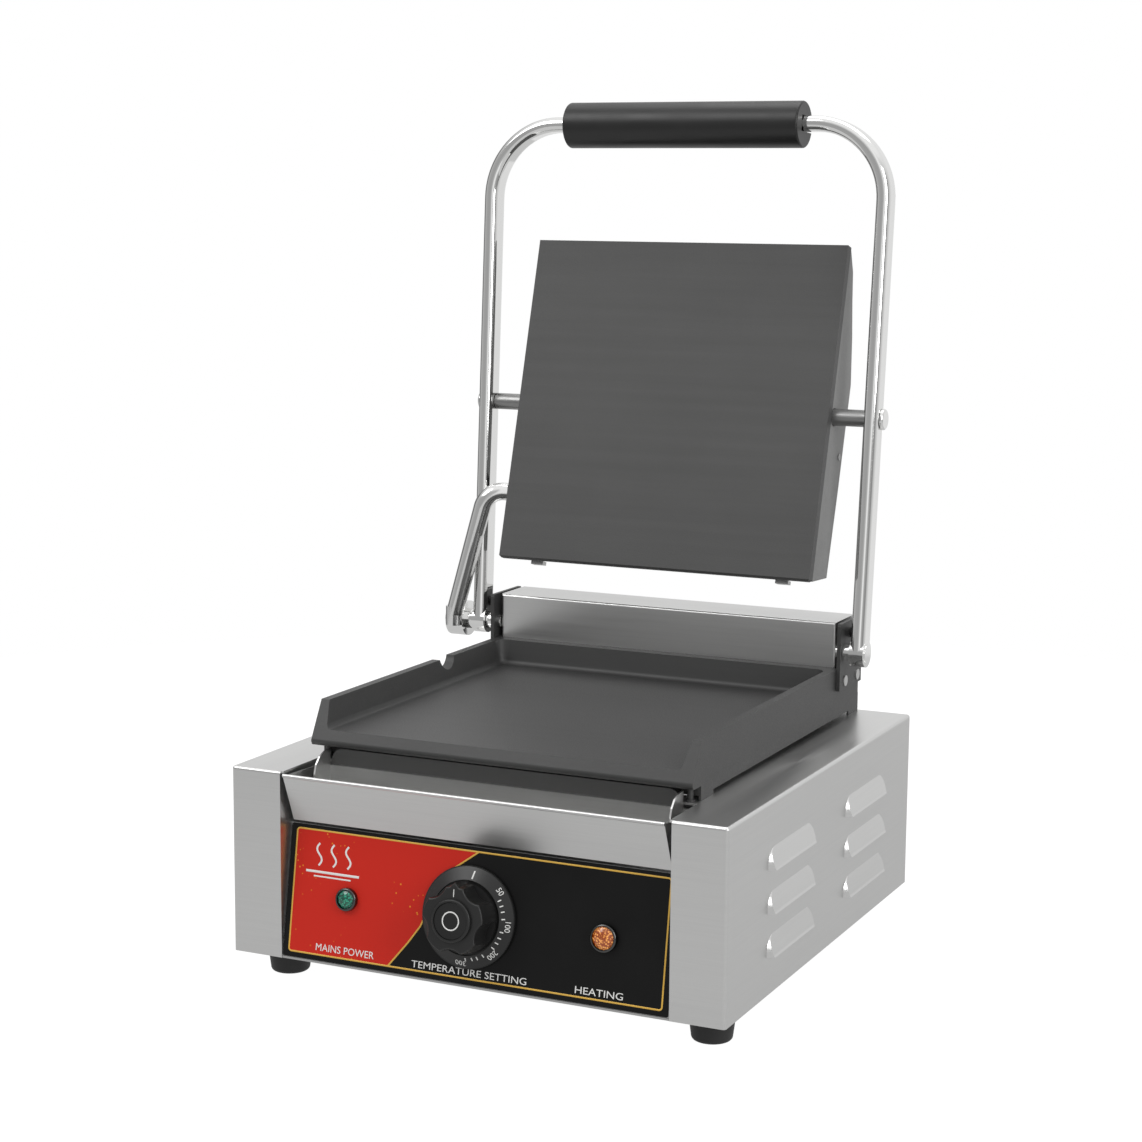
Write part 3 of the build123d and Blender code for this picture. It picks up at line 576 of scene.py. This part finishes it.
# %% A plain motif: three wisps of steam over a hot plate
WISPS_AT, WISP_APART, WISP_SWAY, WISP_FOOT, WISP_H = -84.5, 9.0, 1.7, 15.5, 12
strokes = []
for index in range(3):
    cx = WISPS_AT + WISP_APART * (index - 1)
    wisp = [(cx + WISP_SWAY * sin(step / WISP_H * 2 * pi), WISP_FOOT + step) for step in range(WISP_H + 1)]
    strokes.append(outline_print("wisp", wisp, False, 1.1))
strokes.append(outline_print("plate line", [(-101, 12.0), (-68, 12.0)], False, 1.3))
strokes.append(outline_print("foot line", [(-96, 9.6), (-73, 9.6)], False, 0.8))
motif = joined(strokes, "panel_motif")
motif.scale = (1, 1, 0.2)
apply_all(motif)
place(motif, DIAL @ Matrix.Translation((0, 0, FILM + INK)))
smooth(motif)
finish_piece(motif, "base", "panel_print", WHITE)

# %% [markdown]
# ## The lamps' caps
# Each cap is a shallow dome with flat facets, cut from an icosphere: the sphere is bisected so that only a
# shallow cap is left, and it is shaded flat, because the facets are the point of it.

# %% Faceted lamp caps
LENS_FOOT = 2.6 * MM               # where a dome starts, out of the panel


def lamp(name, node, body_slot, finish, radius, rise):
    """A faceted dome over a lens node, radius wide at its foot and rise high, both in millimetres."""
    low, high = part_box(node)
    local = DIAL.inverted() @ ((low + high) / 2)
    ball = (radius ** 2 + rise ** 2) / (2 * rise) * MM
    foot_of_dome = ball - rise * MM
    bpy.ops.object.select_all(action="DESELECT")
    bpy.ops.mesh.primitive_ico_sphere_add(subdivisions=4, radius=ball, location=(0, 0, 0))
    cap = added(name)
    bpy.ops.object.mode_set(mode="EDIT")
    bpy.ops.mesh.select_all(action="SELECT")
    bpy.ops.mesh.bisect(plane_co=(0, 0, foot_of_dome), plane_no=(0, 0, 1), clear_inner=True, use_fill=True)
    bpy.ops.mesh.select_all(action="SELECT")
    bpy.ops.mesh.normals_make_consistent(inside=False)
    bpy.ops.object.mode_set(mode="OBJECT")
    place(cap, DIAL @ Matrix.Translation((local.x, local.y, LENS_FOOT - foot_of_dome)))
    return finish_piece(cap, "base", body_slot, finish, node)


lamp("power_lamp_cap", "power_lamp_lens", "green_lens", GREEN, 5.0, 1.7)
lamp("heat_lamp_cap", "heat_lamp_lens", "amber_lens", AMBER, 6.1, 2.1)

# %% [markdown]
# ## Numbers on the dial
# The skirt of the knob is a flat cone, so each number and tick is made flat, tipped to the cone's slope and
# turned to its own clock angle. They ride on the knob.

# %% Dial marks
SKIRT_OUT, SKIRT_IN, SKIRT_RISE = 26.6, 20.0, 3.4      # the dial skirt's cone
SKIRT_FOOT, GRIP_TOP, CAP_TOP = 2.4, 20.8, 22.2        # heights out of the panel
SLOPE = atan2(SKIRT_RISE, SKIRT_OUT - SKIRT_IN)


def on_skirt(piece, clock, radius):
    """Set a flat mark on the cone at a clock angle, with its top outwards."""
    height = (SKIRT_FOOT + (SKIRT_OUT - radius) * SKIRT_RISE / (SKIRT_OUT - SKIRT_IN) + 0.04) * MM
    tipped = Matrix.Translation((0, radius * MM, height)) @ Matrix.Rotation(-SLOPE, 4, "X")
    return place(piece, Matrix.Rotation(-radians(clock), 4, "Z") @ tipped)


def stroke(width, length):
    """A flat white stroke about the origin."""
    bpy.ops.object.select_all(action="DESELECT")
    bpy.ops.mesh.primitive_cube_add(size=1, location=(0, 0, 0), scale=(width * MM, length * MM, INK))
    piece = added("stroke")
    bpy.ops.object.transform_apply(location=False, rotation=False, scale=True)
    return piece


marks = []
for text, clock in (("50", 49), ("100", 94), ("200", 137), ("300", 184)):
    marks.append(on_skirt(words(text, 3.0, 0, 0), clock, 24.0))
for clock in (59, 67, 75, 85, 103, 112, 120, 129, 148, 158, 166, 176):
    marks.append(on_skirt(stroke(0.6, 2.0), clock, 21.9))
marks.append(on_skirt(stroke(0.8, 4.6), 6, 22.8))
pointer = stroke(0.45, 4.0)
marks.append(place(pointer, Matrix.Translation((0, 14.4 * MM, (GRIP_TOP + 0.03) * MM))))
bpy.ops.mesh.primitive_torus_add(
    major_radius=4.7 * MM, minor_radius=0.35 * MM, major_segments=48, minor_segments=8)
ring = added("cap_ring")
ring.matrix_world = Matrix.Translation((0, 0, CAP_TOP * MM)) @ Matrix.Diagonal((1, 1, 0.3, 1))
marks.append(apply_all(ring))
dial_marks = joined(marks, "dial_marks")
place(dial_marks, DIAL)
finish_piece(dial_marks, "knob", "knob_cap", WHITE)

# %% [markdown]
# ## The conduit
# The wires reach the upper plate through a bent tube. On the grill it turns with the handle frame at its lower
# end and with the plate at its upper end. Here it is one Bezier line with a round bevel, turned into a
# mesh.

# %% The conduit tube
TUBE_R, TUBE_BEND = 5.5 * MM, 13 * MM
axle = Vector(joints["arm_lift"]["pos_m"])
grommet_low, grommet_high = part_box("conduit_grommet")
tube_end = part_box("conduit_tube")[1].x
foot = axle + Vector((-139.6, -10.1, 4.0)) * MM
knee = axle + Vector((-116.8, -10.1, 84.2)) * MM
through = (grommet_low + grommet_high) / 2
inside = Vector((tube_end - 1.5 * MM, through.y, through.z))
down, along = (foot - knee).normalized(), (inside - knee).normalized()
turned_by = pi - down.angle(along)
setback = TUBE_BEND * tan(turned_by / 2)
pull = TUBE_BEND * 4 / 3 * tan(turned_by / 4)      # handle length that makes a Bezier arc nearly round
stops = [
    (foot, -down, 20 * MM),
    (knee + setback * down, -down, pull),
    (knee + setback * along, along, pull),
    (inside, along, 2 * MM),
]
bpy.ops.object.select_all(action="DESELECT")
bpy.ops.curve.primitive_bezier_curve_add(location=(0, 0, 0))
conduit = added("conduit_tube_smooth")
spline = conduit.data.splines[0]
spline.bezier_points.add(2)
for point, (spot, heading, handle) in zip(spline.bezier_points, stops):
    point.handle_left_type = point.handle_right_type = "FREE"
    point.co = spot
    point.handle_left = spot - heading * handle
    point.handle_right = spot + heading * handle
spline.resolution_u = 24
conduit.data.dimensions = "3D"
conduit.data.bevel_depth = TUBE_R
conduit.data.bevel_resolution = 10
conduit.data.use_fill_caps = True
only(conduit)
bpy.ops.object.convert(target="MESH")
conduit = added("conduit_tube_smooth")
smooth(conduit, 50)
conduit.data.materials.clear()
conduit.data.materials.append(CHROME)
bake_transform(conduit)
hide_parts("conduit_tube")
print("conduit turns by", round(degrees(turned_by), 1), "degrees")

# %% [markdown]
# ## Floor, light and camera
# A white floor carries the object and meets a white backdrop without a line. Three large soft lights and a
# sky with darker and lighter bands give steel and chrome something to reflect.

# %% The floor
# To the camera the floor is plain white. To the steel it is a little darker, as a real sweep is when the
# lights are kept on the object, so the metal keeps its tone.
bpy.ops.object.select_all(action="DESELECT")
bpy.ops.mesh.primitive_circle_add(vertices=96, radius=1.0, location=(0, 0, -0.2 * MM), fill_type="NGON")
floor = added("studio_floor")
FLOOR, tree, shader = material("Studio floor", (0.10, 0.10, 0.10), 0.9)
shader.inputs["Specular IOR Level"].default_value = 0.0
shader.inputs["Emission Color"].default_value = (1, 1, 1, 1)
seen = tree.nodes.new("ShaderNodeLightPath").outputs["Is Camera Ray"]
tree.links.new(ranged(tree, seen, 0.0, 1.0, 0.50, 0.985), shader.inputs["Emission Strength"])
floor.data.materials.append(FLOOR)

# %% Lights and sky


def soft_light(name, place_at, aim, size, power):
    data = bpy.data.lights.new(name, "AREA")
    data.shape = "RECTANGLE"
    data.size, data.size_y = size
    data.energy = power
    lamp_object = bpy.data.objects.new(name, data)
    bpy.context.scene.collection.objects.link(lamp_object)
    lamp_object.location = place_at
    lamp_object.rotation_euler = (Vector(aim) - Vector(place_at)).to_track_quat("-Z", "Y").to_euler()
    return lamp_object


centre = (Vector(cad_box[0]) + Vector(cad_box[1])) / 2
soft_light("key", (-1.3, -1.4, 1.9), centre, (1.2, 1.2), 16)
soft_light("fill", (1.9, -0.9, 1.0), centre, (0.7, 1.4), 16)
soft_light("top", (0.1, 0.5, 2.2), centre, (1.8, 1.2), 12)

# The sky by direction round the object: degrees from the front, towards the right, and how bright it is.
SKY = [
    (-180, 0.85), (-150, 0.80), (-128, 0.24), (-100, 0.16), (-80, 0.50), (-45, 0.40), (-10, 0.38), (14, 0.50),
    (22, 0.90), (38, 0.90), (50, 0.42), (80, 0.28), (105, 0.60), (140, 0.80), (180, 0.85),
]
world = bpy.data.worlds.new("studio sky")
bpy.context.scene.world = world
world.use_nodes = True
tree = world.node_tree
direction = tree.nodes.new("ShaderNodeSeparateXYZ")
tree.links.new(tree.nodes.new("ShaderNodeTexCoord").outputs["Generated"], direction.inputs[0])
forwards = maths(tree, "MULTIPLY", direction.outputs["Y"], -1.0)
bearing = maths(tree, "ARCTAN2", direction.outputs["X"], forwards)
ring = tree.nodes.new("ShaderNodeValToRGB")
ring.color_ramp.interpolation = "EASE"
tree.links.new(ranged(tree, bearing, -pi, pi), ring.inputs["Fac"])
while len(ring.color_ramp.elements) < len(SKY):
    ring.color_ramp.elements.new(0.5)
for element, (angle, value) in zip(ring.color_ramp.elements, SKY):
    element.position = (angle + 180) / 360
    element.color = (value, value, value, 1)
overhead = ranged(tree, direction.outputs["Z"], 0.35, 0.75)
mixed = tree.nodes.new("ShaderNodeMix")
mixed.data_type = "RGBA"
mixed.inputs["B"].default_value = (0.95, 0.95, 0.95, 1)
tree.links.new(overhead, mixed.inputs["Factor"])
tree.links.new(ring.outputs["Color"], mixed.inputs["A"])
plain = tree.nodes.new("ShaderNodeMix")
plain.data_type = "RGBA"
plain.inputs["B"].default_value = (1, 1, 1, 1)
tree.links.new(tree.nodes.new("ShaderNodeLightPath").outputs["Is Camera Ray"], plain.inputs["Factor"])
tree.links.new(mixed.outputs["Result"], plain.inputs["A"])
tree.links.new(plain.outputs["Result"], tree.nodes["Background"].inputs["Color"])
bpy.context.scene.view_settings.view_transform = "Standard"

# %% The camera
AZIMUTH, ELEVATION, ROLL = radians(25.26), radians(8.92), radians(0.43)
AIM, AWAY = Vector((0.0409, -0.1089, 0.2360)), 1.25
back_of = Vector((sin(AZIMUTH) * cos(ELEVATION), -cos(AZIMUTH) * cos(ELEVATION), sin(ELEVATION)))
across = Vector((cos(AZIMUTH), sin(AZIMUTH), 0))
upward = back_of.cross(across)
across, upward = cos(ROLL) * across + sin(ROLL) * upward, cos(ROLL) * upward - sin(ROLL) * across
camera_data = bpy.data.cameras.new("camera")
camera_data.sensor_width = 36
camera_data.lens = 76.25
camera = bpy.data.objects.new("camera", camera_data)
bpy.context.scene.collection.objects.link(camera)
turned_to = Matrix((across, upward, back_of)).transposed().to_4x4()
camera.matrix_world = Matrix.Translation(AIM + AWAY * back_of) @ turned_to
bpy.context.scene.camera = camera
print("camera at", [round(v, 3) for v in camera.location])
